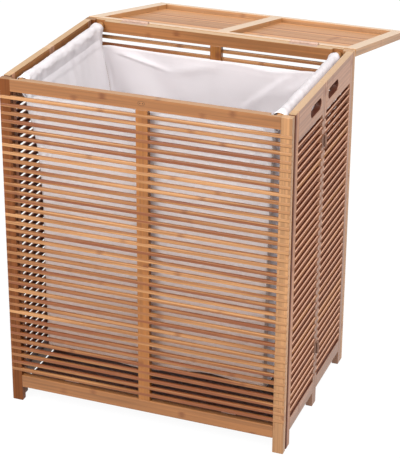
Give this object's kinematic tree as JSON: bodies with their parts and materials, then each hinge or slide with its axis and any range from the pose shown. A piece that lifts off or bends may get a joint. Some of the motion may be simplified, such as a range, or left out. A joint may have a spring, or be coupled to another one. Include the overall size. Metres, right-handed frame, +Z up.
{
  "type": "laundry hamper",
  "caption": "Folding slatted bamboo laundry hamper: bifold sides with grip slots, hinged panelled lid, tip-up base board and a cloth bag hung on lift-out rods.",
  "frame": {"origin": "on the floor, in the middle of the box round the hamper with its lid laid open; that point lies just behind the rear panel, under the lid hinges", "axes": "+Z up, +Y to the rear (the side that the lid opens to), +X to the right seen from the front"},
  "size_m": [0.5112, 0.702, 0.6032],
  "materials": {
    "bamboo_slats": "satin lacquer",
    "bamboo_stile": "satin lacquer",
    "bamboo_rail": "satin lacquer",
    "bamboo_side_leaf": "satin lacquer",
    "bamboo_lid": "satin lacquer",
    "bamboo_base": "satin lacquer",
    "bamboo_rod": "satin lacquer",
    "hinge_steel": "zinc plated",
    "bag_cotton": "plain woven cotton"
  },
  "bodies": {
    "rear_panel": {"rear_left_stile": "bamboo_stile", "rear_right_stile": "bamboo_stile", "rear_centre_stile_and_slats": "bamboo_slats", "rear_bottom_rail": "bamboo_rail", "rear_top_rail": "bamboo_rail", "base_ledge": "bamboo_base", "lid_left_hinge_fixed_leaf": "hinge_steel", "lid_right_hinge_fixed_leaf": "hinge_steel", "rear_left_lower_corner_hinge": "hinge_steel", "rear_left_upper_corner_hinge": "hinge_steel", "rear_right_lower_corner_hinge": "hinge_steel", "rear_right_upper_corner_hinge": "hinge_steel"},
    "front_panel": {"front_left_stile": "bamboo_stile", "front_right_stile": "bamboo_stile", "front_centre_stile_and_slats": "bamboo_slats", "front_bottom_rail": "bamboo_rail", "front_top_rail": "bamboo_rail", "base_left_hinge_fixed_leaf": "hinge_steel", "base_right_hinge_fixed_leaf": "hinge_steel", "front_left_lower_corner_hinge": "hinge_steel", "front_left_upper_corner_hinge": "hinge_steel", "front_right_lower_corner_hinge": "hinge_steel", "front_right_upper_corner_hinge": "hinge_steel"},
    "lid": {"lid_left_side_rail": "bamboo_lid", "lid_right_side_rail": "bamboo_lid", "lid_hinge_rail": "bamboo_lid", "lid_front_rail": "bamboo_lid", "lid_centre_rail": "bamboo_lid", "lid_left_boards": "bamboo_lid", "lid_right_boards": "bamboo_lid", "lid_left_hinge_moving_leaf": "hinge_steel", "lid_right_hinge_moving_leaf": "hinge_steel"},
    "base": {"base_board": "bamboo_base", "base_left_hinge_moving_leaf": "hinge_steel", "base_right_hinge_moving_leaf": "hinge_steel"},
    "bag_and_rods": {"left_rod": "bamboo_rod", "right_rod": "bamboo_rod", "bag": "bag_cotton"},
    "left_front_leaf": {"left_front_leaf_corner_stile": "bamboo_side_leaf", "left_front_leaf_seam_stile_and_slats": "bamboo_side_leaf", "left_front_leaf_bottom_rail": "bamboo_side_leaf", "left_front_leaf_grip_board": "bamboo_side_leaf"},
    "left_rear_leaf": {"left_rear_leaf_corner_stile": "bamboo_side_leaf", "left_rear_leaf_seam_stile_and_slats": "bamboo_side_leaf", "left_rear_leaf_bottom_rail": "bamboo_side_leaf", "left_rear_leaf_grip_board": "bamboo_side_leaf", "left_lower_seam_hinge": "hinge_steel", "left_upper_seam_hinge": "hinge_steel"},
    "right_front_leaf": {"right_front_leaf_corner_stile": "bamboo_side_leaf", "right_front_leaf_seam_stile_and_slats": "bamboo_side_leaf", "right_front_leaf_bottom_rail": "bamboo_side_leaf", "right_front_leaf_grip_board": "bamboo_side_leaf"},
    "right_rear_leaf": {"right_rear_leaf_corner_stile": "bamboo_side_leaf", "right_rear_leaf_seam_stile_and_slats": "bamboo_side_leaf", "right_rear_leaf_bottom_rail": "bamboo_side_leaf", "right_rear_leaf_grip_board": "bamboo_side_leaf", "right_lower_seam_hinge": "hinge_steel", "right_upper_seam_hinge": "hinge_steel"}
  },
  "joints": [
    {"name": "fold", "type": "hinge", "parent": "rear_panel", "child": "right_rear_leaf", "pos_m": [0.2345, -0.02146, 0.3], "axis": [0, 0, -1], "range_deg": [0, 88], "deforming": ["bag"]},
    {"name": "right_seam", "type": "hinge", "parent": "right_rear_leaf", "child": "right_front_leaf", "pos_m": [0.253, -0.17596, 0.3], "axis": [0, 0, 1], "range_deg": [0, 176]},
    {"name": "front_right_corner", "type": "hinge", "parent": "right_front_leaf", "child": "front_panel", "pos_m": [0.2345, -0.33046, 0.3], "axis": [0, 0, -1], "range_deg": [0, 88]},
    {"name": "base_tip", "type": "hinge", "parent": "front_panel", "child": "base", "pos_m": [0, -0.33596, 0.0436], "axis": [1, 0, 0], "range_deg": [0, 90]},
    {"name": "rear_left_corner", "type": "hinge", "parent": "rear_panel", "child": "left_rear_leaf", "pos_m": [-0.2345, -0.02146, 0.3], "axis": [0, 0, 1], "range_deg": [0, 88]},
    {"name": "left_seam", "type": "hinge", "parent": "left_rear_leaf", "child": "left_front_leaf", "pos_m": [-0.253, -0.17596, 0.3], "axis": [0, 0, -1], "range_deg": [0, 176]},
    {"name": "bag_lift", "type": "slide", "parent": "rear_panel", "child": "bag_and_rods", "axis": [0, 0, 1], "range_m": [0, 0.646]},
    {"name": "lid_hinge", "type": "hinge", "parent": "rear_panel", "child": "lid", "pos_m": [0, 0.00254, 0.6004], "axis": [1, 0, 0], "range_deg": [0, 192]}
  ],
  "couplings": [
    {"joint": "right_seam", "follows": "fold", "ratio": 2},
    {"joint": "front_right_corner", "follows": "fold", "ratio": 1},
    {"joint": "base_tip", "follows": "fold", "ratio": 1.0227},
    {"joint": "rear_left_corner", "follows": "fold", "ratio": 1},
    {"joint": "left_seam", "follows": "fold", "ratio": 2},
    {"joint": "bag_lift", "follows": "fold", "m_per_rad": 0.42}
  ]
}
